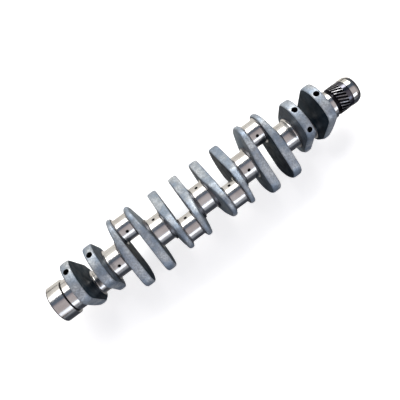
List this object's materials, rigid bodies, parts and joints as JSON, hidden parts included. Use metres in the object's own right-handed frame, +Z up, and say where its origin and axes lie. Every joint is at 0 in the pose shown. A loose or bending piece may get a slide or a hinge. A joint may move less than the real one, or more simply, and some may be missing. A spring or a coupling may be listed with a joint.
{
  "type": "crankshaft",
  "caption": "Inline six-cylinder crankshaft, forged in one piece, with counterweighted webs, ground journals, a flywheel flange, a helical timing gear and a polished nose hub.",
  "frame": {"origin": "centre of the middle main journal, on the crank axis", "axes": "+X along the crank axis from the flywheel flange to the nose, +Z up with crankpins 2 to 5 above the axis and crankpins 1 and 6 straight below it, +Y completes the right-hand frame"},
  "size_m": [1.011, 0.209, 0.211],
  "materials": {
    "forged_steel": "shot-blasted forging with ground and polished journals",
    "gear_steel": "black oxide, teeth polished by hobbing",
    "ring_steel": "dark, polished",
    "polished_steel": "polished",
    "key_steel": "ground",
    "bearing_steel": "ground bearing steel",
    "cage_steel": "pressed sheet steel",
    "clip_steel": "phosphated spring steel"
  },
  "bodies": {
    "shaft": {"crankshaft_forging": "forged_steel", "timing_gear": "gear_steel", "oil_thrower_ring": "ring_steel", "nose_hub": "polished_steel", "gear_key": "key_steel", "hub_key": "key_steel", "flywheel_dowel": "key_steel", "pilot_bearing_outer_ring": "bearing_steel", "pilot_bearing_shield_front": "cage_steel", "pilot_bearing_shield_rear": "cage_steel", "pilot_bearing_circlip": "clip_steel"},
    "pilot_inner_race": {"pilot_bearing_inner_ring": "bearing_steel"},
    "pilot_cage": {"pilot_bearing_balls": "bearing_steel", "pilot_bearing_cage_front": "cage_steel", "pilot_bearing_cage_rear": "cage_steel", "pilot_bearing_cage_rivets": "cage_steel"}
  },
  "joints": [
    {"name": "pilot_race_spin", "type": "hinge", "parent": "shaft", "child": "pilot_inner_race", "pos_m": [-0.4695, 0, 0], "axis": [1, 0, 0], "continuous": true},
    {"name": "pilot_cage_spin", "type": "hinge", "parent": "shaft", "child": "pilot_cage", "pos_m": [-0.4695, 0, 0], "axis": [1, 0, 0], "continuous": true}
  ],
  "couplings": [
    {"joint": "pilot_cage_spin", "follows": "pilot_race_spin", "ratio": 0.39688}
  ]
}
